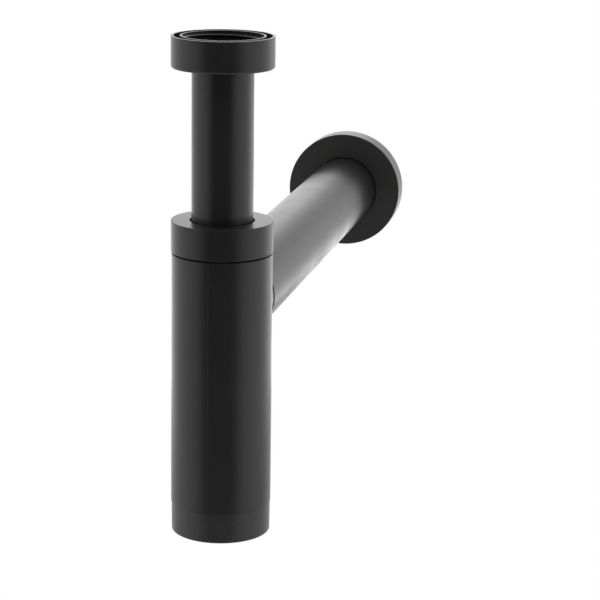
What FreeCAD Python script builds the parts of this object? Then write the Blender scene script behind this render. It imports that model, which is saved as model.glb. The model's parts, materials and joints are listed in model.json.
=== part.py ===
"""Basin trap: a bottle trap with a telescopic inlet pipe, a screwed cap nut, a moulded
bottle with a side outlet, a screwed bottom cap, and an outlet pipe with a wall flange.

Millimetres. The origin is the centre of the inlet nut's mouth, +Z is up and the
outlet pipe runs along +Y, level, to the wall.
"""
import FreeCAD, Part
import os

os.makedirs("parts", exist_ok=True)

# Pipes
inlet_pipe_d = 32.0
inlet_pipe_wall = 1.6
outlet_pipe_d = 43.0
outlet_pipe_wall = 1.9

# Heights down the bottle's axis
inlet_nut_height = 16.3
bare_inlet_length = 79.0
cap_nut_height = 16.4
cap_seam = 0.8
bottle_length = 134.7
bottom_seam = 0.1
bottom_cap_height = 16.1
boss_below_shoulder = 8.5
water_seal_depth = 57.0

# Lengths along the outlet
boss_stand = 3.3
outlet_seam = 0.3
bare_outlet_length = 300.8
flange_depth = 15.2
wall_entry_length = 40.0
entry_mark_width = 1.0
entry_mark_depth = 0.3
spigot_length = 22.0

# Steps outwards from the inlet pipe to the neck, the cap nut and the bottle
throat_gap = 1.4
seat_taper = 2.8
neck_wall = 2.2
thread_height = 1.4
cap_nut_wall = 2.8
bottle_step = 0.3
bottle_draft = 0.2
bottom_cap_step = 0.05
bottom_cap_draft = 0.15
bottom_cap_wall = 1.95
foot_wall = 2.0

# Steps outwards from the inlet pipe to the basin's thread, which is G 1 1/4
inlet_collar_reach = 3.2
waste_thread_height = 1.355
waste_collar_wall = 1.05
nut_skirt_wall = 1.4

# Steps outwards from the outlet pipe to the flange
grip_ring_thick = 3.0
flange_reach = 15.7

# Other walls
nut_floor = 2.2
cap_nut_web = 2.6
bottle_wall = 2.4
bottom_cap_floor = 2.8
spigot_wall = 3.15
flange_wall = 2.0

# Washers and seals
inlet_washer_thick = 2.4
inlet_collar_thick = 2.2
slip_ring_thick = 1.2
cap_washer_thick = 1.2
cap_washer_recess = 0.6
cap_washer_side_gap = 1.9
cap_seal_height = 9.0
cap_seal_proud = 0.6
bottom_seal_thick = 2.0
o_ring_squeezed = 1.7
o_ring_groove_width = 2.4
first_groove = 8.0
groove_spacing = 7.0
grip_ring_length = 6.0
grip_collar_length = 10.0

# Clearances, all on the radius
running_gap = 0.05
seal_gap = 0.04
seat_gap = 0.4
nut_hole_gap = 0.5
cap_hole_gap = 0.9
flange_hole_gap = 0.35

# Ribs between the inlet nut's two walls
rib_count = 12
rib_thick = 1.2
rib_below_rim = 4.0

# Edges
seam_edge = 0.1
fine_edge = 0.3
base_edge = 0.5
soft_edge = 1.0
lead_in = 0.8
boss_fillet = 0.8

# Radii worked out from the values above. A thread is a plain bore at its root, which
# faces a plain neck at its own root, with room for both threads between them.
inlet_r = inlet_pipe_d / 2
inlet_bore_r = inlet_r - inlet_pipe_wall
outlet_r = outlet_pipe_d / 2
outlet_bore_r = outlet_r - outlet_pipe_wall
throat_r = inlet_r + throat_gap
neck_bore_r = throat_r + seat_taper
neck_r = neck_bore_r + neck_wall
cap_bore_r = neck_r + thread_height
cap_washer_r = cap_bore_r - cap_washer_side_gap
nut_r = cap_bore_r + cap_nut_wall
bottle_top_r = nut_r - bottle_step
bottle_foot_r = bottle_top_r + bottle_draft
bottom_cap_r = bottle_top_r - bottom_cap_step
bottom_bore_r = bottom_cap_r - bottom_cap_wall
foot_r = bottom_bore_r - thread_height
foot_bore_r = foot_r - foot_wall
collar_r = inlet_r + inlet_collar_reach
seat_r = collar_r + seat_gap
waste_r = seat_r + waste_thread_height
waste_collar_r = waste_r + waste_collar_wall
nut_skirt_bore_r = nut_r - nut_skirt_wall
spigot_r = outlet_bore_r - running_gap
spigot_bore_r = spigot_r - spigot_wall
groove_r = outlet_bore_r - o_ring_squeezed
grip_r = outlet_r + grip_ring_thick
flange_r = outlet_r + flange_reach

# Levels worked out from the values above
cap_top_z = -inlet_nut_height - bare_inlet_length
cap_bottom_z = cap_top_z - cap_nut_height
cap_web_z = cap_top_z - cap_nut_web
cap_washer_top_z = cap_web_z + cap_washer_recess
seal_top_z = cap_washer_top_z - cap_washer_thick
neck_top_z = seal_top_z - cap_seal_proud
shoulder_z = cap_bottom_z - cap_seam
foot_z = shoulder_z - bottle_length
bottom_cap_top_z = foot_z - bottom_seam
base_z = bottom_cap_top_z - bottom_cap_height
bottom_floor_z = base_z + bottom_cap_floor
foot_end_z = bottom_floor_z + bottom_seal_thick
outlet_z = shoulder_z - boss_below_shoulder - outlet_r
dip_end_z = outlet_z - spigot_bore_r - water_seal_depth
slip_ring_z = -inlet_nut_height + nut_floor
collar_z = slip_ring_z + slip_ring_thick
washer_z = collar_z + inlet_collar_thick
waste_thread_end_z = washer_z + inlet_washer_thick

# Places along the outlet
boss_face_y = bottle_top_r + boss_stand
spigot_end_y = boss_face_y + spigot_length
pipe_start_y = boss_face_y + outlet_seam
flange_front_y = boss_face_y + bare_outlet_length
flange_web_y = flange_front_y + flange_wall
flange_back_y = flange_front_y + flange_depth
entry_y = flange_back_y + entry_mark_width
pipe_end_y = flange_back_y + wall_entry_length


def turned(profile):
    """A solid turned about the Z axis from (radius, height) corners, none of them repeated."""
    corners = [FreeCAD.Vector(radius, 0, height) for radius, height in profile]
    face = Part.Face(Part.makePolygon(corners + corners[:1]))
    return face.revolve(FreeCAD.Vector(), FreeCAD.Vector(0, 0, 1), 360)


def ring(inner, outer, low, high):
    """A plain ring between two radii and two heights."""
    return turned([(inner, low), (outer, low), (outer, high), (inner, high)])


def rod(radius, low, high):
    """A plain round bar between two heights."""
    return Part.makeCylinder(radius, high - low, FreeCAD.Vector(0, 0, low))


def along_outlet(shape):
    """The shape laid on the outlet's axis, so that its height runs along +Y."""
    laid = shape.copy()
    laid.rotate(FreeCAD.Vector(), FreeCAD.Vector(1, 0, 0), -90)
    laid.translate(FreeCAD.Vector(0, 0, outlet_z))
    return laid


def circle_edges(shape, places):
    """The circular edges at the given (radius, height) places."""
    found = []
    for edge in shape.Edges:
        if edge.Curve.TypeId != "Part::GeomCircle":
            continue
        for radius, height in places:
            same_size = abs(edge.Curve.Radius - radius) < 1e-6
            if same_size and abs(edge.Curve.Center.z - height) < 1e-6:
                found.append(edge)
    return found


def rounded(shape, size, places):
    return shape.makeFillet(size, circle_edges(shape, places))


def bevelled(shape, size, places):
    return shape.makeChamfer(size, circle_edges(shape, places))


def inlet_nut():
    """Outer skirt and inner threaded collar on one floor, tied by ribs in the gap between."""
    hole = inlet_r + nut_hole_gap
    nut = turned([
        (hole, -inlet_nut_height),
        (nut_r, -inlet_nut_height),
        (nut_r, 0),
        (nut_skirt_bore_r, 0),
        (nut_skirt_bore_r, slip_ring_z),
        (waste_collar_r, slip_ring_z),
        (waste_collar_r, 0),
        (waste_r, 0),
        (waste_r, waste_thread_end_z),
        (seat_r, waste_thread_end_z),
        (seat_r, slip_ring_z),
        (hole, slip_ring_z),
    ])
    nut = bevelled(nut, fine_edge, [(nut_r, 0)])
    nut = rounded(nut, soft_edge, [(nut_r, -inlet_nut_height)])
    rib_start = waste_collar_r - waste_collar_wall / 2
    rib_end = nut_skirt_bore_r + nut_skirt_wall / 2
    rib_bottom_z = slip_ring_z - nut_floor / 2
    rib_height = -rib_below_rim - rib_bottom_z
    for number in range(rib_count):
        corner = FreeCAD.Vector(rib_start, -rib_thick / 2, rib_bottom_z)
        rib = Part.makeBox(rib_end - rib_start, rib_thick, rib_height, corner)
        rib.rotate(FreeCAD.Vector(), FreeCAD.Vector(0, 0, 1), 360 * number / rib_count)
        nut = nut.fuse(rib)
    return nut.removeSplitter()


def inlet_washer():
    return ring(inlet_bore_r + running_gap, collar_r, washer_z, waste_thread_end_z)


def inlet_slip_ring():
    return ring(inlet_r + running_gap, collar_r, slip_ring_z, collar_z)


def inlet_pipe():
    """The pipe hangs from its collar and dips into the bottle below the outlet."""
    pipe = turned([
        (inlet_bore_r, dip_end_z),
        (inlet_r, dip_end_z),
        (inlet_r, collar_z),
        (collar_r, collar_z),
        (collar_r, washer_z),
        (inlet_bore_r, washer_z),
    ])
    return bevelled(pipe, fine_edge, [(inlet_r, dip_end_z)])


def cap_nut():
    """Round nut whose top web closes on the slip washer and the seal."""
    hole = inlet_r + cap_hole_gap
    recess = cap_washer_r + running_gap
    nut = turned([
        (hole, cap_washer_top_z),
        (recess, cap_washer_top_z),
        (recess, cap_web_z),
        (cap_bore_r, cap_web_z),
        (cap_bore_r, cap_bottom_z),
        (nut_r, cap_bottom_z),
        (nut_r, cap_top_z),
        (hole, cap_top_z),
    ])
    return bevelled(nut, fine_edge, [(nut_r, cap_top_z), (nut_r, cap_bottom_z), (hole, cap_top_z)])


def cap_slip_washer():
    """Slippery washer that clips into the recess under the cap nut's web."""
    return ring(inlet_r + seat_gap, cap_washer_r, seal_top_z, cap_washer_top_z)


def seat_radius(height):
    """The radius of the neck's tapered seat at a height, from its throat to its mouth."""
    return neck_bore_r + seat_taper * (height - neck_top_z) / cap_seal_height


def cap_seal():
    """Tapered rubber seal that the cap nut squeezes between the neck and the pipe."""
    bottom = neck_top_z - cap_seal_height + cap_seal_proud
    top_r = neck_bore_r - seal_gap
    return turned([
        (inlet_r + running_gap, bottom),
        (seat_radius(bottom) - seal_gap, bottom),
        (top_r, neck_top_z),
        (top_r, seal_top_z),
        (inlet_r + running_gap, seal_top_z),
    ])


def bottle_outside():
    """The bottle's outline with the side boss, blended where the two rounds meet."""
    outline = turned([
        (0, foot_end_z),
        (foot_r, foot_end_z),
        (foot_r, foot_z),
        (bottle_foot_r, foot_z),
        (bottle_top_r, shoulder_z),
        (neck_r, shoulder_z),
        (neck_r, neck_top_z),
        (0, neck_top_z),
    ])
    outline = bevelled(outline, fine_edge, [(bottle_top_r, shoulder_z)])
    outline = bevelled(outline, seam_edge, [(bottle_foot_r, foot_z)])
    outline = bevelled(outline, lead_in, [(neck_r, neck_top_z), (foot_r, foot_end_z)])
    joined = outline.fuse(along_outlet(rod(outlet_r, 0, boss_face_y)))
    plain = ("Part::GeomCircle", "Part::GeomLine")
    meeting = [edge for edge in joined.Edges if edge.Curve.TypeId not in plain]
    return joined.makeFillet(boss_fillet, meeting)


def bottle_inside():
    """The hollow of the bottle: foot, main room, throat and the tapered seat of the neck."""
    inner_top_r = bottle_top_r - bottle_wall
    inner_foot_r = bottle_foot_r - bottle_wall
    taper_low = foot_z + bottle_wall
    return turned([
        (0, foot_end_z),
        (foot_bore_r, foot_end_z),
        (foot_bore_r, taper_low),
        (inner_foot_r, taper_low + inner_foot_r - foot_bore_r),
        (inner_top_r, shoulder_z - inner_top_r + throat_r),
        (throat_r, shoulder_z),
        (throat_r, neck_top_z - cap_seal_height),
        (neck_bore_r, neck_top_z),
        (0, neck_top_z),
    ])


def groove_middle(number):
    """How far along the outlet the middle of a rubber ring's groove lies."""
    return boss_face_y + first_groove + number * groove_spacing


def bottle_body():
    """Moulded bottle: threaded neck and foot, and a side boss with a grooved spigot."""
    spigot = rod(spigot_r, bottle_top_r, spigot_end_y)
    spigot = bevelled(spigot, lead_in, [(spigot_r, spigot_end_y)])
    for number in range(2):
        low = groove_middle(number) - o_ring_groove_width / 2
        spigot = spigot.cut(ring(groove_r, outlet_r, low, low + o_ring_groove_width))
    waterway = rod(spigot_bore_r, 0, spigot_end_y)
    solid = bottle_outside().fuse(along_outlet(spigot))
    return solid.cut([bottle_inside(), along_outlet(waterway)]).removeSplitter()


def bottom_cap():
    """Round screw cap that closes the foot for cleaning, with a slight taper downwards."""
    base_r = bottom_cap_r - bottom_cap_draft
    cap = turned([
        (0, base_z),
        (base_r, base_z),
        (bottom_cap_r, bottom_cap_top_z),
        (bottom_bore_r, bottom_cap_top_z),
        (bottom_bore_r, bottom_floor_z),
        (0, bottom_floor_z),
    ])
    cap = rounded(cap, base_edge, [(base_r, base_z)])
    return bevelled(cap, seam_edge, [(bottom_cap_r, bottom_cap_top_z)])


def bottom_seal():
    """Flat rubber seal on the bottom cap's floor, under the bottle's foot."""
    return ring(foot_bore_r - seat_gap, foot_r + seat_gap, bottom_floor_z, foot_end_z)


def o_ring(number):
    """A round rubber ring in one of the spigot's grooves."""
    section_r = o_ring_squeezed / 2 - seal_gap
    middle_r = (outlet_bore_r + groove_r) / 2
    centre = FreeCAD.Vector(0, 0, groove_middle(number))
    return along_outlet(Part.makeTorus(middle_r, section_r, centre))


def outlet_pipe():
    """Plain pipe pushed over the spigot; a shallow ring marks how far it goes into the wall."""
    pipe = ring(outlet_bore_r, outlet_r, pipe_start_y, pipe_end_y)
    pipe = pipe.cut(ring(outlet_r - entry_mark_depth, flange_r, flange_back_y, entry_y))
    pipe = bevelled(pipe, lead_in, [(outlet_bore_r, pipe_start_y), (outlet_r, pipe_end_y)])
    return along_outlet(pipe)


def wall_flange():
    """Hollow round cover with a collar at the back that holds the grip ring."""
    collar_inner = grip_r + running_gap
    collar_outer = collar_inner + flange_wall
    collar_end = flange_web_y + grip_collar_length
    hole = outlet_r + flange_hole_gap
    flange = turned([
        (hole, flange_front_y),
        (flange_r, flange_front_y),
        (flange_r, flange_back_y),
        (flange_r - flange_wall, flange_back_y),
        (flange_r - flange_wall, flange_web_y),
        (collar_outer, flange_web_y),
        (collar_outer, collar_end),
        (collar_inner, collar_end),
        (collar_inner, flange_web_y),
        (hole, flange_web_y),
    ])
    flange = rounded(flange, fine_edge, [(flange_r, flange_front_y), (hole, flange_front_y)])
    return along_outlet(flange)


def flange_grip_ring():
    """Rubber ring inside the flange's collar that holds the flange where it is pushed."""
    end = flange_web_y + grip_ring_length
    return along_outlet(ring(outlet_r + running_gap, grip_r, flange_web_y, end))


pieces = {
    "inlet_nut": inlet_nut(),
    "inlet_washer": inlet_washer(),
    "inlet_slip_ring": inlet_slip_ring(),
    "inlet_pipe": inlet_pipe(),
    "cap_nut": cap_nut(),
    "cap_slip_washer": cap_slip_washer(),
    "cap_seal": cap_seal(),
    "bottle_body": bottle_body(),
    "bottom_cap": bottom_cap(),
    "bottom_seal": bottom_seal(),
    "outlet_o_ring_inner": o_ring(0),
    "outlet_o_ring_outer": o_ring(1),
    "outlet_pipe": outlet_pipe(),
    "flange_grip_ring": flange_grip_ring(),
    "wall_flange": wall_flange(),
}

for name, shape in pieces.items():
    solid = shape.Solids[0]
    solid.exportStep(f"parts/{name}.step")
    print(name, len(shape.Solids), round(solid.Volume), solid.isValid())
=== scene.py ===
# %% [markdown]
# # A satin black basin trap
# The trap is seven turned or moulded black pieces that show, and eight washers, seals and
# rubber rings that hide inside. Almost all of it is turned about two lines: the upright
# axis of the bottle and the level axis of the outlet. So this lesson builds the pieces that
# show from their half sections, gives them threads that follow a helix, and leaves the
# hidden rings as the frame has them, with better finishes.

# %% Load the frame
import json
import math

import bmesh
import bpy
from mathutils import Matrix, Vector

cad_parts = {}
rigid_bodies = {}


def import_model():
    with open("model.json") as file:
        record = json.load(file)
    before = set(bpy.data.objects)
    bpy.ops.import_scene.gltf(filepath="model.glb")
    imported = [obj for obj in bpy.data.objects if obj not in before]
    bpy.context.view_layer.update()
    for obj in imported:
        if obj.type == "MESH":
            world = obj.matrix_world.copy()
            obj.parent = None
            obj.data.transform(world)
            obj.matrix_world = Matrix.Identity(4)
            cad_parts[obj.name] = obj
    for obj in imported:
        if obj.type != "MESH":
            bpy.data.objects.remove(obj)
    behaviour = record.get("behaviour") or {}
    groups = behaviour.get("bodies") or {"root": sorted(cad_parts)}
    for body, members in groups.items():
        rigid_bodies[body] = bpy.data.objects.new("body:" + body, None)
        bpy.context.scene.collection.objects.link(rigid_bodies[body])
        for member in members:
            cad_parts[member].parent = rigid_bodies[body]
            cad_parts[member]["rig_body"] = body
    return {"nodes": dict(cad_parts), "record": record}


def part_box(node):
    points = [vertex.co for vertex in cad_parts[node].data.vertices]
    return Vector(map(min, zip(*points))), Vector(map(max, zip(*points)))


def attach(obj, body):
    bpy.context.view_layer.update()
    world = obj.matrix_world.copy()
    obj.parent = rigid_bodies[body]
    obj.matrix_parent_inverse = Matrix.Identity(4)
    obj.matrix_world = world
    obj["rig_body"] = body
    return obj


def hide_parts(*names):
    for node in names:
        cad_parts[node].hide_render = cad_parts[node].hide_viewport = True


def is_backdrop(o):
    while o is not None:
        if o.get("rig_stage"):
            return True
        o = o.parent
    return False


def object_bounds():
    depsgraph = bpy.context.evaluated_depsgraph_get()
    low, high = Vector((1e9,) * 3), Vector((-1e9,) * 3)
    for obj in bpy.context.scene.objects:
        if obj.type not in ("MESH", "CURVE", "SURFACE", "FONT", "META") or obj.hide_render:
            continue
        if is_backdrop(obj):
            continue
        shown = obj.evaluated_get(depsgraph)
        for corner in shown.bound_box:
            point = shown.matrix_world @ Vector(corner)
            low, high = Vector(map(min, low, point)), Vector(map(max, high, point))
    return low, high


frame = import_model()
cad_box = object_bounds()
MM = 0.001

# %% [markdown]
# ## The camera
# The photograph looks at the bottle from a little to its right and from above, with a long
# lens a little over a metre away. These numbers come from fitting the round outlines of the
# nuts, the bottle and the flange all at once. The aim point lies on the view's plane, beside
# the bottle, so the lens needs no shift.

# %% Camera
VIEW_AZIMUTH = math.radians(12.064)
VIEW_ELEVATION = math.radians(14.207)
VIEW_ROLL = math.radians(0.842)
VIEW_DISTANCE = 1.105
AIM_RIGHT = 0.0408
AIM_ABOVE_BASE = 0.1259
FOCAL_PIXELS = 2117.39
FRAME_PIXELS = 600
SENSOR = 36.0
CLIP_START = 0.01
CLIP_END = 30

base_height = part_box("bottom_cap")[0][2]
side = Vector((math.cos(VIEW_AZIMUTH), math.sin(VIEW_AZIMUTH), 0))
back = Vector((
    math.sin(VIEW_AZIMUTH) * math.cos(VIEW_ELEVATION),
    -math.cos(VIEW_AZIMUTH) * math.cos(VIEW_ELEVATION),
    math.sin(VIEW_ELEVATION),
))
above = back.cross(side)
view_right = side * math.cos(VIEW_ROLL) + above * math.sin(VIEW_ROLL)
view_up = above * math.cos(VIEW_ROLL) - side * math.sin(VIEW_ROLL)
aim = Vector((0, 0, base_height + AIM_ABOVE_BASE)) + side * AIM_RIGHT

camera_data = bpy.data.cameras.new("camera")
camera_data.sensor_width = SENSOR
camera_data.lens = FOCAL_PIXELS / FRAME_PIXELS * SENSOR
camera_data.clip_start = CLIP_START
camera_data.clip_end = CLIP_END
camera = bpy.data.objects.new("camera", camera_data)
camera.matrix_world = Matrix((view_right, view_up, back)).transposed().to_4x4()
camera.location = aim + back * VIEW_DISTANCE
bpy.context.scene.collection.objects.link(camera)
bpy.context.scene.camera = camera
print("lens", round(camera_data.lens, 1), "mm")

# %% [markdown]
# ## Satin black finishes
# Black mouldings are never one flat black. The tool leaves a fine even grain, the pigment
# and the cooling leave slow cloudy changes in gloss, and an extruded pipe carries faint
# lines along its length. Each finish is a dark base under a plain plastic reflection, whose
# roughness wanders a little, with the grain as a very shallow bump.

# %% Finish helper
GRAIN_SIZE = 0.00035
GRAIN_DEPTH = GRAIN_SIZE / 4
GRAIN_DETAIL = 2
CLOUD_SIZE = 0.03
CLOUD_DETAIL = 3
CLOUD_CONTRAST = 0.15
CLOUD_LOW = 0.2
CLOUD_HIGH = 0.8
STREAK_SQUEEZE = 0.02
PLASTIC_IOR = 1.5
# A Mix node shows its sockets by number
MIX_FACTOR = 0
FIRST_COLOUR = 6
SECOND_COLOUR = 7
MIXED_COLOUR = 2


def socket_link(tree, source, target):
    """Link one socket of a tree to another."""
    tree.links.new(source, target)


def satin(name, tone, roughness, grain=0.03, streak_axis=None, wander=0.03):
    """A dark plastic: cloudy roughness, fine grain, and streaks along one axis if asked."""
    material = bpy.data.materials.new(name)
    material.use_nodes = True
    tree = material.node_tree
    shader = tree.nodes["Principled BSDF"]
    shader.inputs["IOR"].default_value = PLASTIC_IOR
    place = tree.nodes.new("ShaderNodeTexCoord")

    cloud = tree.nodes.new("ShaderNodeTexNoise")
    cloud.inputs["Scale"].default_value = 1 / CLOUD_SIZE
    cloud.inputs["Detail"].default_value = CLOUD_DETAIL
    socket_link(tree, place.outputs["Object"], cloud.inputs["Vector"])
    colour = tree.nodes.new("ShaderNodeMix")
    colour.data_type = "RGBA"
    darker = [part * (1 - CLOUD_CONTRAST) for part in tone]
    paler = [part * (1 + CLOUD_CONTRAST) for part in tone]
    colour.inputs[FIRST_COLOUR].default_value = (*darker, 1)
    colour.inputs[SECOND_COLOUR].default_value = (*paler, 1)
    socket_link(tree, cloud.outputs["Fac"], colour.inputs[MIX_FACTOR])
    socket_link(tree, colour.outputs[MIXED_COLOUR], shader.inputs["Base Color"])

    spread = tree.nodes.new("ShaderNodeMapRange")
    spread.interpolation_type = "SMOOTHSTEP"
    spread.inputs["From Min"].default_value = CLOUD_LOW
    spread.inputs["From Max"].default_value = CLOUD_HIGH
    spread.inputs["To Min"].default_value = roughness - wander
    spread.inputs["To Max"].default_value = roughness + wander
    socket_link(tree, cloud.outputs["Fac"], spread.inputs["Value"])
    socket_link(tree, spread.outputs["Result"], shader.inputs["Roughness"])

    fine = tree.nodes.new("ShaderNodeTexNoise")
    fine.inputs["Scale"].default_value = 1 / GRAIN_SIZE
    fine.inputs["Detail"].default_value = GRAIN_DETAIL
    if streak_axis is None:
        socket_link(tree, place.outputs["Object"], fine.inputs["Vector"])
    else:
        squeeze = tree.nodes.new("ShaderNodeMapping")
        squeeze.inputs["Scale"].default_value = [
            STREAK_SQUEEZE if axis == streak_axis else 1.0 for axis in "xyz"
        ]
        socket_link(tree, place.outputs["Object"], squeeze.inputs["Vector"])
        socket_link(tree, squeeze.outputs["Vector"], fine.inputs["Vector"])
    bump = tree.nodes.new("ShaderNodeBump")
    bump.inputs["Strength"].default_value = grain
    bump.inputs["Distance"].default_value = GRAIN_DEPTH
    socket_link(tree, fine.outputs["Fac"], bump.inputs["Height"])
    socket_link(tree, bump.outputs["Normal"], shader.inputs["Normal"])
    return material


# %% [markdown]
# Of the black pieces the bottle is the glossiest, the nuts and the base are a little duller,
# and the flange is the dullest and palest. The two pipes lie between the bottle and the nuts
# and carry faint lines along their length. The cap nut is given the darkest black, and the
# base the palest after the flange. The seals are dull rubber, and the slip rings a slippery
# off-white plastic without pigment.

# %% Finishes
BLACK = (0.0165, 0.0167, 0.0169)
finishes = {
    "black_bottle": satin("satin_bottle", BLACK, roughness=0.22),
    "black_moulding": satin("satin_moulding", (0.0192, 0.0193, 0.0193), roughness=0.27),
    "black_inlet_pipe": satin(
        "satin_inlet_pipe", BLACK, roughness=0.26, grain=0.02, streak_axis="z",
    ),
    "black_outlet_pipe": satin(
        "satin_outlet_pipe", BLACK, roughness=0.25, grain=0.02, streak_axis="y",
    ),
    "black_flange": satin("satin_flange", (0.0485, 0.0483, 0.047), roughness=0.3),
    "seal_rubber": satin("dull_rubber", (0.014, 0.014, 0.014), roughness=0.6, grain=0.08),
    "slip_plastic": satin("slip_plastic", (0.68, 0.68, 0.65), roughness=0.42, grain=0.02),
}
own_finishes = {
    "cap_nut": satin("satin_cap_nut", (0.0152, 0.0153, 0.0154), roughness=0.27),
    "bottom_cap": satin("satin_base", (0.0265, 0.0263, 0.0257), roughness=0.27),
}
slots = {row["node"]: row["material_slot"] for row in frame["record"]["subparts"]}


def finish_of(node):
    """The finish of a node: its own, or else the one of its material slot."""
    return own_finishes.get(node, finishes[slots[node]])


for node, piece in frame["nodes"].items():
    piece.data.materials.clear()
    piece.data.materials.append(finish_of(node))
print(len(finishes) + len(own_finishes), "finishes")

# %% [markdown]
# ## Turning a half section
# A turned piece is one outline swung round an axis. Each corner of the outline can carry a
# small radius, because a moulded edge is never sharp and its thin highlight is what the eye
# reads as an edge. Beside each radius the outline gets one more point, so that the smooth
# shading of the radius doesn't leak into the long plain wall.

# %% Outline helper
CORNER_STEPS = 4
GUARD = 0.25


def soft_outline(corners):
    """Points (radius, height) of an outline whose (radius, height, soft) corners are rounded."""
    points = []
    for index, (radius, height, soft) in enumerate(corners):
        here = Vector((radius, height))
        if soft <= 0:
            points.append(here)
            continue
        backward = (Vector(corners[index - 1][:2]) - here).normalized()
        onward = (Vector(corners[(index + 1) % len(corners)][:2]) - here).normalized()
        half = backward.angle(onward) / 2
        reach = soft / math.tan(half)
        centre = here + (backward + onward).normalized() * soft / math.sin(half)
        first_arm = (here + backward * reach - centre).normalized()
        last_arm = (here + onward * reach - centre).normalized()
        points.append(here + backward * (reach + GUARD))
        for step in range(CORNER_STEPS + 1):
            points.append(centre + first_arm.slerp(last_arm, step / CORNER_STEPS) * soft)
        points.append(here + onward * (reach + GUARD))
    return points


print("a soft corner has", CORNER_STEPS + 3, "points")

# %% [markdown]
# The same helper closes a skin through any row of rings, because the bottle's side boss
# needs rings that aren't plain circles. A ring of one point closes the skin on the axis.
# Edges that turn by more than 30 degrees stay sharp.

# %% Skin helpers
TURNS = 192
ON_AXIS = 1e-6
SHARP_FROM = math.radians(30)


def circle(radius, height):
    """One ring of points in millimetres, or a single point on the axis."""
    if radius < ON_AXIS:
        return [Vector((0, 0, height))]
    angles = [2 * math.pi * number / TURNS for number in range(TURNS)]
    return [Vector((radius * math.cos(turn), radius * math.sin(turn), height)) for turn in angles]


def skinned(rings):
    """A closed bmesh through rings of points, from the last ring back to the first."""
    mesh = bmesh.new()
    made = []
    for ring in rings:
        corners = [mesh.verts.new(point * MM) for point in ring]
        made.append(corners if len(corners) > 1 else corners * TURNS)
    for ring, following in zip(made, made[1:] + made[:1]):
        if ring[0] is ring[1] and following[0] is following[1]:
            continue
        for number in range(TURNS):
            after = (number + 1) % TURNS
            around = (ring[number], ring[after], following[after], following[number])
            mesh.faces.new(list(dict.fromkeys(around)))
    return mesh


def turned(corners):
    """A closed bmesh turned from one outline of soft corners."""
    return skinned([circle(*point) for point in soft_outline(corners)])


def shade(mesh):
    """Point the faces outwards, shade them smooth and keep the true edges sharp."""
    bmesh.ops.recalc_face_normals(mesh, faces=mesh.faces)
    for face in mesh.faces:
        face.smooth = True
    for edge in mesh.edges:
        edge.smooth = edge.calc_face_angle(0) < SHARP_FROM


print(TURNS, "points to a turn")

# %% [markdown]
# A finished piece stands for a node of the frame, takes that node's finish and rides with its
# body. Pieces of the outlet are turned upright and then laid on the outlet's axis.

# %% Piece helpers
OUTLET_LEVEL = sum(corner[2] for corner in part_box("outlet_pipe")) / 2
LAY_ON_OUTLET = Matrix.Translation((0, 0, OUTLET_LEVEL)) @ Matrix.Rotation(-math.pi / 2, 4, "X")


def as_object(name, mesh, laid=False):
    """The bmesh as an object of the scene, upright or laid on the outlet's axis."""
    if laid:
        bmesh.ops.transform(mesh, matrix=LAY_ON_OUTLET, verts=mesh.verts)
    shade(mesh)
    data = bpy.data.meshes.new(name)
    mesh.to_mesh(data)
    mesh.free()
    piece = bpy.data.objects.new(name, data)
    bpy.context.scene.collection.objects.link(piece)
    return piece


def dress(piece, node, stands_for=True):
    """Give a piece the finish and the body of a node, and let it stand for the node."""
    piece.data.materials.clear()
    piece.data.materials.append(finish_of(node))
    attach(piece, frame["nodes"][node]["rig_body"])
    if stands_for:
        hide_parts(node)
        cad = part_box(node)
        corners = [vertex.co for vertex in piece.data.vertices]
        off = max(
            max(abs(min(co[axis] for co in corners) - cad[0][axis]) for axis in range(3)),
            max(abs(max(co[axis] for co in corners) - cad[1][axis]) for axis in range(3)),
        )
        faces = len(piece.data.polygons)
        print(piece.name, faces, "faces,", round(off / MM, 3), "mm off the solid")


def frozen(piece):
    """The piece with its modifiers turned into plain mesh."""
    graph = bpy.context.evaluated_depsgraph_get()
    result = bpy.data.meshes.new_from_object(piece.evaluated_get(graph))
    piece.modifiers.clear()
    piece.data = result
    return piece


print("outlet axis at", round(OUTLET_LEVEL / MM, 2), "mm")

# %% [markdown]
# ## The inlet nut
# The nut is two walls on one floor. The outer skirt is what the hand turns and the inner
# collar carries the thread of the basin's waste. From above, the photograph shows a thin
# rim, a dark gap, the pale mouth of the collar and the first turn of the thread. The floor
# lies a hair under the slip ring that runs on it, so the two never share one plane.

# %% Inlet nut
NUT_R = 26.6
NUT_FLOOR = -16.3
NUT_FLOOR_TOP = -14.1
SKIRT_BORE_R = 25.2
COLLAR_R = 22.005
WASTE_THREAD_R = 20.955
WASTE_THREAD_END = -8.3
WASHER_SEAT_R = 19.6
NUT_HOLE_R = 16.5
SLIP_ROOM = 0.02
SLIP_SEAT = NUT_FLOOR_TOP - SLIP_ROOM

inlet_nut = as_object("inlet_nut_turned", turned([
    (NUT_HOLE_R, NUT_FLOOR, 0.2),
    (NUT_R, NUT_FLOOR, 1.0),
    (NUT_R, 0, 0.15),
    (SKIRT_BORE_R, 0, 0.08),
    (SKIRT_BORE_R, SLIP_SEAT, 0.4),
    (COLLAR_R, SLIP_SEAT, 0.4),
    (COLLAR_R, 0, 0.08),
    (WASTE_THREAD_R, 0, 0.08),
    (WASTE_THREAD_R, WASTE_THREAD_END, 0),
    (WASHER_SEAT_R, WASTE_THREAD_END, 0.1),
    (WASHER_SEAT_R, SLIP_SEAT, 0),
    (NUT_HOLE_R, SLIP_SEAT, 0.1),
]))
dress(inlet_nut, "inlet_nut")

# %% [markdown]
# ## The inlet pipe
# A thin tube with a collar at its top, which hangs in the nut between the slip ring and the
# washer. Only its long smooth wall shows, but the end that dips into the bottle is finished too.

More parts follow.
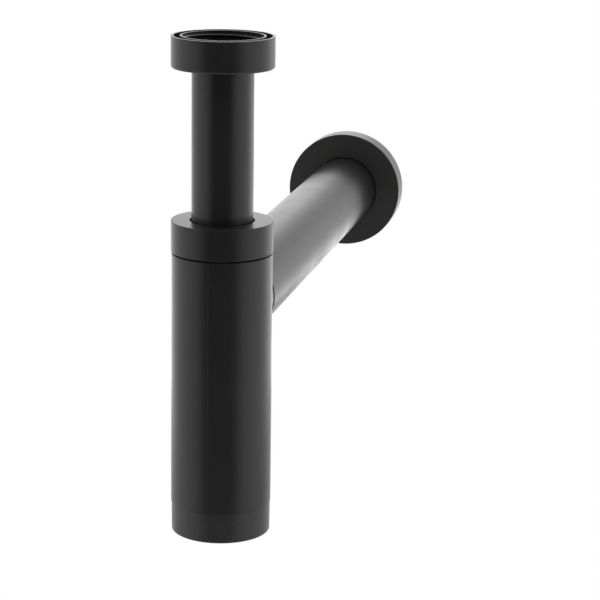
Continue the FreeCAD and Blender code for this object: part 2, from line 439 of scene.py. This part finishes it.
# %% Inlet pipe
PIPE_BORE_R = 14.4
PIPE_R = 16.0
PIPE_COLLAR_R = 19.2
PIPE_TOP = -10.7
PIPE_COLLAR_BOTTOM = -12.9
PIPE_END = -215.9

inlet_pipe = as_object("inlet_pipe_turned", turned([
    (PIPE_BORE_R, PIPE_END, 0.3),
    (PIPE_R, PIPE_END, 0.3),
    (PIPE_R, PIPE_COLLAR_BOTTOM, 0.4),
    (PIPE_COLLAR_R, PIPE_COLLAR_BOTTOM, 0.2),
    (PIPE_COLLAR_R, PIPE_TOP, 0.2),
    (PIPE_BORE_R, PIPE_TOP, 0.3),
]))
dress(inlet_pipe, "inlet_pipe")

# %% [markdown]
# ## The cap nut
# The cap nut closes the bottle's neck and squeezes the seal onto the inlet pipe. Its web is
# flat on top, with a small gap around the pipe that reads as a dark ring.

# %% Cap nut
CAP_TOP = -95.3
CAP_BOTTOM = -111.7
CAP_WEB = -97.9
CAP_RECESS_TOP = -97.3
CAP_HOLE_R = 16.9
CAP_RECESS_R = 21.95
CAP_BORE_R = 23.8

cap_nut = as_object("cap_nut_turned", turned([
    (CAP_HOLE_R, CAP_RECESS_TOP, 0.1),
    (CAP_RECESS_R, CAP_RECESS_TOP, 0),
    (CAP_RECESS_R, CAP_WEB, 0.1),
    (CAP_BORE_R, CAP_WEB, 0),
    (CAP_BORE_R, CAP_BOTTOM, 0.3),
    (NUT_R, CAP_BOTTOM, 0.3),
    (NUT_R, CAP_TOP, 0.25),
    (CAP_HOLE_R, CAP_TOP, 0.25),
]))
dress(cap_nut, "cap_nut")

# %% [markdown]
# ## The bottle
# The bottle is one moulding: a threaded neck and foot, a slightly drafted wall, and a boss at
# the side that carries the grooved spigot of the outlet. It starts as a solid outside. Long
# walls get extra rows of points, so that a later cut only disturbs the shading beside it.

# %% Bottle outside
NECK_TOP = -99.1
NECK_R = 22.4
SHOULDER = -112.5
BOTTLE_TOP_R = 26.3
BOTTLE_FOOT_R = 26.5
FOOT = -247.2
FOOT_R = 22.9
FOOT_END = -258.6
ROW_SPACING = 3.0


def with_rows(outline, spacing):
    """The outline with points added along its long runs."""
    points = []
    for here, following in zip(outline, outline[1:] + outline[:1]):
        runs = max(1, round((following - here).length / spacing))
        points += [here.lerp(following, run / runs) for run in range(runs)]
    return points


bottle_outline = soft_outline([
    (0, FOOT_END, 0),
    (FOOT_R, FOOT_END, 0.8),
    (FOOT_R, FOOT, 0.2),
    (BOTTLE_FOOT_R, FOOT, 0.12),
    (BOTTLE_TOP_R, SHOULDER, 0.3),
    (NECK_R, SHOULDER, 0.2),
    (NECK_R, NECK_TOP, 0.8),
    (0, NECK_TOP, 0),
])
wall = as_object("bottle_turned", skinned([
    circle(*point) for point in with_rows(bottle_outline[:-1], ROW_SPACING) + bottle_outline[-1:]
]))
print(len(wall.data.polygons), "faces before the boss")

# %% [markdown]
# Where two rounds meet, a mould has a small blend, as if a ball had rolled along the corner.
# The ball's centre stays one ball radius off both rounds, and its arc between the two contact
# points is the blend. The ball is pressed into the wall by a hair, so that the two solids
# cross cleanly when they are joined. The boss is a little slimmer here than in the solids, so
# that the start of the outlet pipe stands past it, as the photograph's thin dark arc.

# %% Boss with a rolled blend
SOLID_BOSS_R = 21.5
BOSS_SLIMMER = 0.33
BOSS_R = SOLID_BOSS_R - BOSS_SLIMMER
BOSS_FACE = 29.6
BLEND_R = 0.8
BLEND_STEPS = 6
PRESS = 0.02
BOSS_ROOT = 5.0
BOSS_ROOT_R = 20.0


def wall_radius(height):
    """The bottle's drafted radius at a height."""
    part = (SHOULDER - height) / (SHOULDER - FOOT)
    return BOTTLE_TOP_R + (BOTTLE_FOOT_R - BOTTLE_TOP_R) * part


def blend_rings():
    """Rings from the bottle's wall onto the boss, upright along the outlet's axis."""
    rings = [[] for step in range(BLEND_STEPS + 1)]
    for number in range(TURNS):
        turn = 2 * math.pi * number / TURNS
        outward = Vector((math.cos(turn), math.sin(turn), 0))
        level = OUTLET_LEVEL / MM - (BOSS_R + BLEND_R) * outward.y
        reach = wall_radius(level) + BLEND_R - PRESS
        across = (BOSS_R + BLEND_R) * outward.x
        along = math.sqrt(reach ** 2 - across ** 2)
        centre = outward * (BOSS_R + BLEND_R) + Vector((0, 0, along))
        to_wall = -Vector((across, 0, along)).normalized()
        for step, ring in enumerate(rings):
            ring.append(centre + to_wall.slerp(-outward, step / BLEND_STEPS) * BLEND_R)
    return rings


print("blend of", BLEND_R, "mm in", BLEND_STEPS, "steps")

# %% [markdown]
# From the blend the skin runs along the last straight bit of the boss to its face, then over
# the spigot with the two grooves of its rubber rings.

# %% Boss and spigot
BOSS_STRAIGHT = 1.5
SPIGOT_R = 19.55
SPIGOT_END = 51.6
GROOVE_R = 17.9
GROOVE_WIDTH = 2.4
GROOVE_MIDDLES = (37.6, 44.6)

spigot_corners = [
    (BOSS_R, BOSS_FACE - BOSS_STRAIGHT, 0),
    (BOSS_R, BOSS_FACE, 0.2),
    (SPIGOT_R, BOSS_FACE, 0.15),
]
for middle in GROOVE_MIDDLES:
    near = middle - GROOVE_WIDTH / 2
    far = middle + GROOVE_WIDTH / 2
    spigot_corners += [(SPIGOT_R, near, 0.1), (GROOVE_R, near, 0.15)]
    spigot_corners += [(GROOVE_R, far, 0.15), (SPIGOT_R, far, 0.1)]
spigot_corners += [(SPIGOT_R, SPIGOT_END, 0.8), (0, SPIGOT_END, 0)]

boss = as_object("boss_and_spigot", skinned(
    [circle(0, BOSS_ROOT), circle(BOSS_ROOT_R, BOSS_ROOT)]
    + blend_rings()
    + [circle(*point) for point in soft_outline(spigot_corners)]
), laid=True)
print(len(boss.data.polygons), "faces in the boss and spigot")

# %% [markdown]
# The hollow is turned the same way and taken out: the tapered seat of the neck, the throat,
# the main room and the foot's bore, and then the waterway through the boss. Weighted normals
# keep the big walls calm around the cuts.

# %% Bottle hollow
NECK_BORE_R = 20.2
THROAT_R = 17.4
THROAT_TOP = -108.1
ROOM_TOP_R = 23.9
ROOM_TOP = -119.0
ROOM_FOOT_R = 24.1
ROOM_FOOT = -241.6
FOOT_BORE_R = 20.9
FOOT_BORE_TOP = -244.8
WATERWAY_R = 16.4
OVERRUN = 1.0
MERGE_BELOW = 1e-6
TAPER_OVERRUN = (NECK_BORE_R - THROAT_R) / (NECK_TOP - THROAT_TOP) * OVERRUN

hollow = as_object("bottle_hollow", turned([
    (0, FOOT_END - OVERRUN, 0),
    (FOOT_BORE_R, FOOT_END - OVERRUN, 0),
    (FOOT_BORE_R, FOOT_BORE_TOP, 0.3),
    (ROOM_FOOT_R, ROOM_FOOT, 0.5),
    (ROOM_TOP_R, ROOM_TOP, 0.5),
    (THROAT_R, SHOULDER, 0.3),
    (THROAT_R, THROAT_TOP, 0.3),
    (NECK_BORE_R + TAPER_OVERRUN, NECK_TOP + OVERRUN, 0),
    (0, NECK_TOP + OVERRUN, 0),
]))
waterway_end = SPIGOT_END + OVERRUN
waterway = as_object("waterway", skinned([
    circle(0, 0), circle(WATERWAY_R, 0),
    circle(WATERWAY_R, waterway_end), circle(0, waterway_end),
]), laid=True)


def cut_from(piece, others):
    """Join or cut other solids, given as (object, operation), and drop them."""
    for other, operation in others:
        change = piece.modifiers.new(other.name, "BOOLEAN")
        change.operation = operation
        change.solver = "EXACT"
        change.object = other
        frozen(piece)
        bpy.data.objects.remove(other)


cut_from(wall, [(boss, "UNION"), (hollow, "DIFFERENCE"), (waterway, "DIFFERENCE")])
cleaned = bmesh.new()
cleaned.from_mesh(wall.data)
bmesh.ops.remove_doubles(cleaned, verts=cleaned.verts, dist=MERGE_BELOW)
shade(cleaned)
open_edges = sum(1 for edge in cleaned.edges if len(edge.link_faces) != 2)
cleaned.to_mesh(wall.data)
cleaned.free()
calm = wall.modifiers.new("calm", "WEIGHTED_NORMAL")
calm.keep_sharp = True
frozen(wall)
dress(wall, "bottle_body")
print(open_edges, "open edges")

# %% [markdown]
# ## The bottom cap
# The base of the bottle unscrews for cleaning. It is a shallow cup, a touch smaller than the
# bottle, with a soft lower edge.

# %% Bottom cap
CUP_TOP = -247.3
CUP_BASE = -263.4
CUP_TOP_R = 26.25
CUP_BASE_R = 26.1
CUP_BORE_R = 24.3
CUP_FLOOR = -260.6

bottom_cap = as_object("bottom_cap_turned", turned([
    (0, CUP_BASE, 0),
    (CUP_BASE_R, CUP_BASE, 0.5),
    (CUP_TOP_R, CUP_TOP, 0.12),
    (CUP_BORE_R, CUP_TOP, 0.3),
    (CUP_BORE_R, CUP_FLOOR, 0.5),
    (0, CUP_FLOOR, 0),
]))
dress(bottom_cap, "bottom_cap")

# %% [markdown]
# ## The outlet pipe
# It is turned along the outlet. The pipe is plain, with a shallow mark ring that shows how
# far it goes into the wall.

# %% Outlet pipe
OUTLET_R = 21.5
OUTLET_BORE_R = 19.6
OUTLET_START = 29.9
OUTLET_END = 385.6
MARK_START = 345.6
MARK_END = 346.6
MARK_R = 21.2

outlet_pipe = as_object("outlet_pipe_turned", turned([
    (OUTLET_BORE_R, OUTLET_START, 0.8),
    (OUTLET_R, OUTLET_START, 0.2),
    (OUTLET_R, MARK_START, 0.05),
    (MARK_R, MARK_START, 0.05),
    (MARK_R, MARK_END, 0.05),
    (OUTLET_R, MARK_END, 0.05),
    (OUTLET_R, OUTLET_END, 0.8),
    (OUTLET_BORE_R, OUTLET_END, 0.2),
]), laid=True)
dress(outlet_pipe, "outlet_pipe")

# %% [markdown]
# ## The wall flange
# A hollow cover for the hole in the wall, turned along the outlet too. Its face meets its rim
# in a tight edge, and a collar at the back holds the rubber ring that grips the pipe.

# %% Wall flange
FLANGE_R = 37.2
FLANGE_HOLE_R = 21.85
FLANGE_FRONT = 330.4
FLANGE_WEB_BACK = 332.4
FLANGE_BACK = 345.6
FLANGE_SKIRT_BORE_R = 35.2
GRIP_COLLAR_BORE_R = 24.55
GRIP_COLLAR_R = 26.55
GRIP_COLLAR_END = 342.4

flange = as_object("wall_flange_turned", turned([
    (FLANGE_HOLE_R, FLANGE_FRONT, 0.1),
    (FLANGE_R, FLANGE_FRONT, 0.35),
    (FLANGE_R, FLANGE_BACK, 0.3),
    (FLANGE_SKIRT_BORE_R, FLANGE_BACK, 0.3),
    (FLANGE_SKIRT_BORE_R, FLANGE_WEB_BACK, 0.5),
    (GRIP_COLLAR_R, FLANGE_WEB_BACK, 0.5),
    (GRIP_COLLAR_R, GRIP_COLLAR_END, 0.3),
    (GRIP_COLLAR_BORE_R, GRIP_COLLAR_END, 0.3),
    (GRIP_COLLAR_BORE_R, FLANGE_WEB_BACK, 0),
    (FLANGE_HOLE_R, FLANGE_WEB_BACK, 0.1),
]), laid=True)
dress(flange, "wall_flange")

# %% [markdown]
# ## Helpers for node trees
# Threads, ribs and the parting line follow a rule, so Geometry Nodes make them. A few short
# helpers add a node with its values, open a tree with named inputs, close it, and turn the
# result into a plain piece that rides on its body.

# %% Node helpers
def node_step(tree, kind, values=None, **settings):
    """Add a node with its settings; a value that is a socket is linked to its input."""
    node = tree.nodes.new(kind)
    for option, setting in settings.items():
        setattr(node, option, setting)
    for label, value in (values or {}).items():
        if isinstance(value, bpy.types.NodeSocket):
            tree.links.new(value, node.inputs[label])
        else:
            node.inputs[label].default_value = value
    return node


def new_tree(name, inputs):
    """A geometry tree with the named inputs, and the sockets that carry them."""
    tree = bpy.data.node_groups.new(name, "GeometryNodeTree")
    tree.interface.new_socket("Geometry", in_out="OUTPUT", socket_type="NodeSocketGeometry")
    tree.interface.new_socket("Geometry", in_out="INPUT", socket_type="NodeSocketGeometry")
    for label, kind in inputs:
        tree.interface.new_socket(label, in_out="INPUT", socket_type=kind)
    return tree, tree.nodes.new("NodeGroupInput").outputs


def worked(tree, operation, *values):
    """The result of a Math node."""
    node = tree.nodes.new("ShaderNodeMath")
    node.operation = operation
    for socket, value in zip(node.inputs, values):
        if isinstance(value, bpy.types.NodeSocket):
            tree.links.new(value, socket)
        else:
            socket.default_value = value
    return node.outputs[0]


def end_tree(tree, geometry, material):
    """Close a tree with real geometry in the given material."""
    real = node_step(tree, "GeometryNodeRealizeInstances", {"Geometry": geometry})
    painted = node_step(tree, "GeometryNodeSetMaterial", {
        "Geometry": real.outputs["Geometry"], "Material": material,
    })
    node_step(tree, "NodeGroupOutput", {"Geometry": painted.outputs["Geometry"]})


def grown(name, tree, values, node, base=None):
    """Run a tree on a new object, turn the result into plain mesh, and dress it."""
    piece = bpy.data.objects.new(name, base or bpy.data.meshes.new(name))
    bpy.context.scene.collection.objects.link(piece)
    change = piece.modifiers.new(name, "NODES")
    change.node_group = tree
    sockets = [item for item in tree.interface.items_tree if item.in_out == "INPUT"]
    named = {socket.name: socket.identifier for socket in sockets}
    for label, value in values.items():
        change[named[label]] = value
    change[named["Material"]] = finish_of(node)
    frozen(piece)
    smoothed = bmesh.new()
    smoothed.from_mesh(piece.data)
    shade(smoothed)
    smoothed.to_mesh(piece.data)
    smoothed.free()
    dress(piece, node, stands_for=False)
    print(name, len(piece.data.polygons), "faces")
    return piece


print("node helpers ready")

# %% [markdown]
# ## Threads that follow a helix
# A thread is one small section swept along a helix, so one tree can make all five: a spiral
# that doesn't widen, a four-sided section with softened corners, and a scale that fades to
# almost nothing at both ends, as a cut thread does. Side 1 stands the ridge outwards on a
# neck and side -1 inwards in a bore.

# %% Thread tree
SECTION_SINK = 0.3
SECTION_SOFTNESS = 0.12
SECTION_CORNER_POINTS = 2
POINTS_A_TURN = 96
FADE_TURNS = 0.12
FADE_TO = 0.05

thread_tree, given = new_tree("thread", [
    ("Root Radius", "NodeSocketFloat"),
    ("Pitch", "NodeSocketFloat"),
    ("Turns", "NodeSocketFloat"),
    ("First Height", "NodeSocketFloat"),
    ("Ridge", "NodeSocketFloat"),
    ("Base Width", "NodeSocketFloat"),
    ("Crest Width", "NodeSocketFloat"),
    ("Side", "NodeSocketFloat"),
    ("Material", "NodeSocketMaterial"),
])
helix = node_step(thread_tree, "GeometryNodeCurveSpiral", {
    "Resolution": POINTS_A_TURN,
    "Rotations": given["Turns"],
    "Start Radius": given["Root Radius"],
    "End Radius": given["Root Radius"],
    "Height": worked(thread_tree, "MULTIPLY", given["Pitch"], given["Turns"]),
    "Reverse": True,
})
level = node_step(thread_tree, "GeometryNodeSetCurveNormal", {
    "Curve": helix.outputs["Curve"],
}, mode="Z_UP")
section = node_step(thread_tree, "GeometryNodeCurvePrimitiveQuadrilateral", {
    "Height": worked(thread_tree, "ADD", given["Ridge"], SECTION_SINK * MM),
    "Bottom Width": given["Base Width"],
    "Top Width": given["Crest Width"],
    "Offset": 0.0,
}, mode="TRAPEZOID")
softened = node_step(thread_tree, "GeometryNodeFilletCurve", {
    "Curve": section.outputs["Curve"],
    "Count": SECTION_CORNER_POINTS,
    "Radius": SECTION_SOFTNESS * MM,
    "Limit Radius": True,
}, mode="POLY")
out_of_wall = worked(thread_tree, "SUBTRACT", given["Ridge"], SECTION_SINK * MM)
lifted = worked(thread_tree, "MULTIPLY", out_of_wall, 0.5)
stand_out = node_step(thread_tree, "ShaderNodeCombineXYZ", {
    "X": worked(thread_tree, "MULTIPLY", lifted, given["Side"]),
})
lean = node_step(thread_tree, "ShaderNodeCombineXYZ", {
    "Z": worked(thread_tree, "MULTIPLY", given["Side"], -math.pi / 2),
})
placed = node_step(thread_tree, "GeometryNodeTransform", {
    "Geometry": softened.outputs["Curve"],
    "Translation": stand_out.outputs["Vector"],
    "Rotation": lean.outputs["Vector"],
})
along = node_step(thread_tree, "GeometryNodeSplineParameter")
to_near_end = worked(
    thread_tree, "MINIMUM", along.outputs["Factor"],
    worked(thread_tree, "SUBTRACT", 1.0, along.outputs["Factor"]),
)
fade = node_step(thread_tree, "ShaderNodeMapRange", {
    "Value": worked(thread_tree, "MULTIPLY", to_near_end, given["Turns"]),
    "From Max": FADE_TURNS,
    "To Min": FADE_TO,
}, interpolation_type="SMOOTHSTEP")
swept = node_step(thread_tree, "GeometryNodeCurveToMesh", {
    "Curve": level.outputs["Curve"],
    "Profile Curve": placed.outputs["Geometry"],
    "Scale": fade.outputs["Result"],
    "Fill Caps": True,
})
raised = node_step(thread_tree, "ShaderNodeCombineXYZ", {"Z": given["First Height"]})
risen = node_step(thread_tree, "GeometryNodeTransform", {
    "Geometry": swept.outputs["Mesh"],
    "Translation": raised.outputs["Vector"],
})
end_tree(thread_tree, risen.outputs["Geometry"], given["Material"])
print(len(thread_tree.nodes), "nodes in the thread tree")

# %% [markdown]
# The basin's thread is the standard G 1 1/4 with its 2.309 mm pitch. The bottle's two threads
# are coarse and blunt, as moulded ones are. The ridge in the bottom cap runs half a pitch off
# the ridge on the foot, so that the two mesh at every angle of the cap. The cap nut's ridge
# should do the same on the neck. Here it starts level with the neck's ridge, so the two cross
# inside the nut, out of sight. A first height of -109.2 would part them by half a pitch.

# %% Threads
OUTWARDS = 1.0
INWARDS = -1.0
# Pitch, ridge, width at the base and width at the crest
WASTE_FORM = (2.309, 1.42, 2.0, 0.35)
BOTTLE_FORM = (3.0, 1.1, 1.4, 0.6)


def thread(name, node, root, first, turns, side, form=BOTTLE_FORM):
    """A thread with its number of turns, from its first height up, sizes in millimetres."""
    pitch, ridge, base, crest = form
    grown(name, thread_tree, {
        "Root Radius": root * MM,
        "Pitch": pitch * MM,
        "Turns": turns,
        "First Height": first * MM,
        "Ridge": ridge * MM,
        "Base Width": base * MM,
        "Crest Width": crest * MM,
        "Side": side,
    }, node)


thread(
    "waste_thread", "inlet_nut", WASTE_THREAD_R,
    first=-7.6, turns=2.75, side=INWARDS, form=WASTE_FORM,
)
thread("neck_thread", "bottle_body", NECK_R, first=-110.7, turns=3.1, side=OUTWARDS)
thread("cap_thread", "cap_nut", CAP_BORE_R, first=-110.7, turns=2.6, side=INWARDS)
thread("foot_thread", "bottle_body", FOOT_R, first=-256.9, turns=2.7, side=OUTWARDS)
thread("bottom_cap_thread", "bottom_cap", CUP_BORE_R, first=-255.4, turns=2.2, side=INWARDS)

# %% [markdown]
# ## Ribs in the nut
# Twelve thin ribs tie the nut's collar to its skirt, low in the dark gap. One block is
# placed on each point of a circle and turned to face outwards.

# %% Ribs
RIB_COUNT = 12
RIB_THICK = 1.2
RIB_TOP = -4.0
RIB_BITE = 0.3

rib_tree, given = new_tree("ribs", [
    ("Count", "NodeSocketInt"),
    ("Circle Radius", "NodeSocketFloat"),
    ("Rib Size", "NodeSocketVector"),
    ("Rib Middle Height", "NodeSocketFloat"),
    ("Material", "NodeSocketMaterial"),
])
places = node_step(rib_tree, "GeometryNodeMeshCircle", {
    "Vertices": given["Count"], "Radius": given["Circle Radius"],
})
block = node_step(rib_tree, "GeometryNodeMeshCube", {"Size": given["Rib Size"]})
where = node_step(rib_tree, "GeometryNodeInputPosition")
facing = node_step(rib_tree, "FunctionNodeAlignRotationToVector", {
    "Vector": where.outputs["Position"],
}, axis="X")
standing = node_step(rib_tree, "GeometryNodeInstanceOnPoints", {
    "Points": places.outputs["Mesh"],
    "Instance": block.outputs["Mesh"],
    "Rotation": facing.outputs["Rotation"],
})
sunk = node_step(rib_tree, "ShaderNodeCombineXYZ", {"Z": given["Rib Middle Height"]})
lowered = node_step(rib_tree, "GeometryNodeTransform", {
    "Geometry": standing.outputs["Instances"], "Translation": sunk.outputs["Vector"],
})
end_tree(rib_tree, lowered.outputs["Geometry"], given["Material"])
rib_bottom = NUT_FLOOR_TOP - RIB_BITE
rib_long = SKIRT_BORE_R - COLLAR_R + 2 * RIB_BITE
grown("nut_ribs", rib_tree, {
    "Count": RIB_COUNT,
    "Circle Radius": (COLLAR_R + SKIRT_BORE_R) / 2 * MM,
    "Rib Size": Vector((rib_long, RIB_THICK, RIB_TOP - rib_bottom)) * MM,
    "Rib Middle Height": (RIB_TOP + rib_bottom) / 2 * MM,
}, "inlet_nut")

# %% [markdown]
# ## The parting line
# The two halves of the bottle's mould leave a hair-thin ridge: down the front, down the back
# above and below the boss, and along the boss. The mould closes about one degree off the plane
# through both axes. The tree squashes a circle that is one wide to the line's width and twice
# its height, and sweeps it along each path, so that half of it lies in the wall.

# %% Parting line
LINE_WIDTH = 0.5
LINE_HEIGHT = 0.1
LINE_POINTS = 12
WALL_END_GAP = 0.4
BOSS_END_GAP = 0.3
MOULD_TURN = 0.019

line_tree, given = new_tree("parting line", [
    ("Width", "NodeSocketFloat"),
    ("Height", "NodeSocketFloat"),
    ("Material", "NodeSocketMaterial"),
])
paths = node_step(line_tree, "GeometryNodeMeshToCurve", {"Mesh": given["Geometry"]})
arch = node_step(line_tree, "GeometryNodeCurvePrimitiveCircle", {
    "Resolution": LINE_POINTS, "Radius": 0.5,
}, mode="RADIUS")
flat = node_step(line_tree, "ShaderNodeCombineXYZ", {
    "X": given["Width"], "Y": given["Height"], "Z": 1.0,
})
squashed = node_step(line_tree, "GeometryNodeTransform", {
    "Geometry": arch.outputs["Curve"], "Scale": flat.outputs["Vector"],
})
ridge = node_step(line_tree, "GeometryNodeCurveToMesh", {
    "Curve": paths.outputs["Curve"],
    "Profile Curve": squashed.outputs["Geometry"],
    "Fill Caps": True,
})
end_tree(line_tree, ridge.outputs["Mesh"], given["Material"])


def path_mesh(name, paths):
    """Edges through rows of (depth, height) points in the mould's plane, in millimetres."""
    mesh = bmesh.new()
    for path in paths:
        points = [Vector((MOULD_TURN * depth, depth, height)) for depth, height in path]
        corners = [mesh.verts.new(point * MM) for point in points]
        for here, following in zip(corners, corners[1:]):
            mesh.edges.new((here, following))
    data = bpy.data.meshes.new(name)
    mesh.to_mesh(data)
    mesh.free()
    return data


axis_level = OUTLET_LEVEL / MM
boss_top = axis_level + BOSS_R
boss_bottom = axis_level - BOSS_R
over_boss = boss_top + BLEND_R
under_boss = boss_bottom - BLEND_R
top_end = SHOULDER - WALL_END_GAP
foot_end = FOOT + WALL_END_GAP
root_y = BOTTLE_TOP_R + BLEND_R
face_end = BOSS_FACE - BOSS_END_GAP
line_paths = path_mesh("parting_line", [
    [(-wall_radius(top_end), top_end), (-wall_radius(foot_end), foot_end)],
    [(wall_radius(top_end), top_end), (wall_radius(over_boss), over_boss)],
    [(wall_radius(under_boss), under_boss), (wall_radius(foot_end), foot_end)],
    [(root_y, boss_top), (face_end, boss_top)],
    [(root_y, boss_bottom), (face_end, boss_bottom)],
])
grown("parting_line", line_tree, {
    "Width": LINE_WIDTH * MM,
    "Height": LINE_HEIGHT * 2 * MM,
}, "bottle_body", line_paths)

# %% [markdown]
# ## The floor
# The photograph has a pure white ground with no shadow. The floor lies half a metre under the
# trap. It is plain white for the camera and a pale matt surface for all other light.

# %% Floor
FLOOR_DROP = 0.5
FLOOR_RADIUS = 1.5
FLOOR_CENTRE_Y = 0.5
FLOOR_CORNERS = 96
FLOOR_TONE = (0.8, 0.8, 0.8, 1)
WHITE = (1, 1, 1, 1)

floor_mesh = bmesh.new()
bmesh.ops.create_circle(
    floor_mesh, cap_ends=True, segments=FLOOR_CORNERS, radius=FLOOR_RADIUS,
)
floor_place = Matrix.Translation((0, FLOOR_CENTRE_Y, base_height - FLOOR_DROP))
bmesh.ops.transform(floor_mesh, matrix=floor_place, verts=floor_mesh.verts)
floor_data = bpy.data.meshes.new("floor")
floor_mesh.to_mesh(floor_data)
floor_mesh.free()
floor = bpy.data.objects.new("floor", floor_data)
bpy.context.scene.collection.objects.link(floor)

pale = bpy.data.materials.new("pale_floor")
pale.use_nodes = True
pale.node_tree.nodes.clear()
seen = node_step(pale.node_tree, "ShaderNodeLightPath")
matt = node_step(pale.node_tree, "ShaderNodeBsdfDiffuse", {"Color": FLOOR_TONE})
white = node_step(pale.node_tree, "ShaderNodeEmission", {"Color": WHITE, "Strength": 1.0})
either = node_step(pale.node_tree, "ShaderNodeMixShader", {0: seen.outputs["Is Camera Ray"]})
pale.node_tree.links.new(matt.outputs["BSDF"], either.inputs[1])
pale.node_tree.links.new(white.outputs["Emission"], either.inputs[2])
node_step(pale.node_tree, "ShaderNodeOutputMaterial", {"Surface": either.outputs["Shader"]})
floor.data.materials.append(pale)
floor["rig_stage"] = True
print("floor", FLOOR_DROP, "m under the trap")

# %% [markdown]
# ## The light
# The world is white for the camera too, but satin black shows only what it reflects. So the
# brightness around the trap falls off towards the camera, which gives every round wall its
# dark middle and its pale edges. Directions that point down glow a little more, most of all
# behind the trap, and straight up and straight down all is one even brightness.

# %% World
# Brightness of the surroundings at an angle to the right (+) or left (-) of the camera
STUDIO_CARDS = (
    (-180, 1.6), (-170, 1.15), (-150, 1.0), (-138, 0.95), (-120, 0.94), (-108, 0.9),
    (-96, 0.88), (-80, 0.8), (-64, 0.69), (-54, 0.55), (-46, 0.37), (-38, 0.13),
    (-31, 0.045), (0, 0.065), (22, 0.055), (31, 0.1), (42, 0.38), (52, 0.64),
    (64, 0.79), (78, 0.88), (96, 0.94), (108, 1.02), (120, 1.18), (132, 1.3),
    (145, 1.15), (156, 0.77), (166, 1.1), (174, 1.65), (180, 1.6),
)
CARD_SCALE = 2.0
FULL_TURN = 360
BELOW_GAIN = 0.12
BACK_GAIN = 0.7
POLE_LEVEL = 1.1
# Heights of a direction, from -1 straight down to 1 straight up
GLOW_STARTS = -0.1
GLOW_FULL = -0.34
POLE_STARTS = 0.5
POLE_FULL = 0.95
# How far a direction points to the camera's side, from -1 behind the trap to 1 in front
BACK_STARTS = -0.5
BACK_FULL = -1.0

world = bpy.data.worlds.new("studio")
bpy.context.scene.world = world
world.use_nodes = True
sky = world.node_tree
sky.nodes.clear()
direction = node_step(sky, "ShaderNodeTexCoord").outputs["Generated"]
front = (math.sin(VIEW_AZIMUTH), -math.cos(VIEW_AZIMUTH), 0)
to_front = node_step(sky, "ShaderNodeVectorMath", {
    0: direction, 1: front,
}, operation="DOT_PRODUCT")
to_right = node_step(sky, "ShaderNodeVectorMath", {
    0: direction, 1: side,
}, operation="DOT_PRODUCT")
turn = worked(sky, "ARCTAN2", to_right.outputs["Value"], to_front.outputs["Value"])
cards = node_step(sky, "ShaderNodeValToRGB", {
    "Fac": worked(sky, "MULTIPLY_ADD", turn, 0.5 / math.pi, 0.5),
})
stops = cards.color_ramp.elements
for angle, level in STUDIO_CARDS[1:-1]:
    stops.new(angle / FULL_TURN + 0.5)
for stop, (angle, level) in zip(stops, STUDIO_CARDS):
    stop.color = (*[level / CARD_SCALE] * 3, 1)
rise = node_step(sky, "ShaderNodeSeparateXYZ", {"Vector": direction}).outputs["Z"]
below = node_step(sky, "ShaderNodeMapRange", {
    "Value": rise, "From Min": GLOW_STARTS, "From Max": GLOW_FULL,
}, interpolation_type="SMOOTHSTEP")
behind = node_step(sky, "ShaderNodeMapRange", {
    "Value": to_front.outputs["Value"], "From Min": BACK_STARTS, "From Max": BACK_FULL,
    "To Min": BELOW_GAIN, "To Max": BELOW_GAIN + BACK_GAIN,
})
low_glow = worked(sky, "MULTIPLY", below.outputs["Result"], behind.outputs["Result"])
around = worked(sky, "MULTIPLY_ADD", cards.outputs["Color"], CARD_SCALE, low_glow)
steepness = worked(sky, "ABSOLUTE", rise)
towards_pole = node_step(sky, "ShaderNodeMapRange", {
    "Value": steepness, "From Min": POLE_STARTS, "From Max": POLE_FULL,
}, interpolation_type="SMOOTHSTEP")
# Inputs 2 and 3 of a Mix node are its two numbers
everywhere = node_step(sky, "ShaderNodeMix", {
    MIX_FACTOR: towards_pole.outputs["Result"], 2: around, 3: POLE_LEVEL,
})
camera_sees = node_step(sky, "ShaderNodeLightPath").outputs["Is Camera Ray"]
brightness = node_step(sky, "ShaderNodeMix", {
    MIX_FACTOR: camera_sees, 2: everywhere.outputs[0], 3: 1.0,
})
glow = node_step(sky, "ShaderNodeBackground", {
    "Color": WHITE, "Strength": brightness.outputs[0],
})
node_step(sky, "ShaderNodeOutputWorld", {"Surface": glow.outputs["Background"]})
bpy.context.scene.view_settings.view_transform = "Standard"
print(len(STUDIO_CARDS), "brightness stops round the studio")

# %% [markdown]
# ## Finish
# The box of the finished model is printed as its offset from the frame's box, because the
# looks must not change the size.

# %% Finish
visual_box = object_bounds()
box_off = [visual_box[1][axis] - cad_box[1][axis] for axis in range(3)]
print("box off by", [round(off / MM, 3) for off in box_off], "mm")
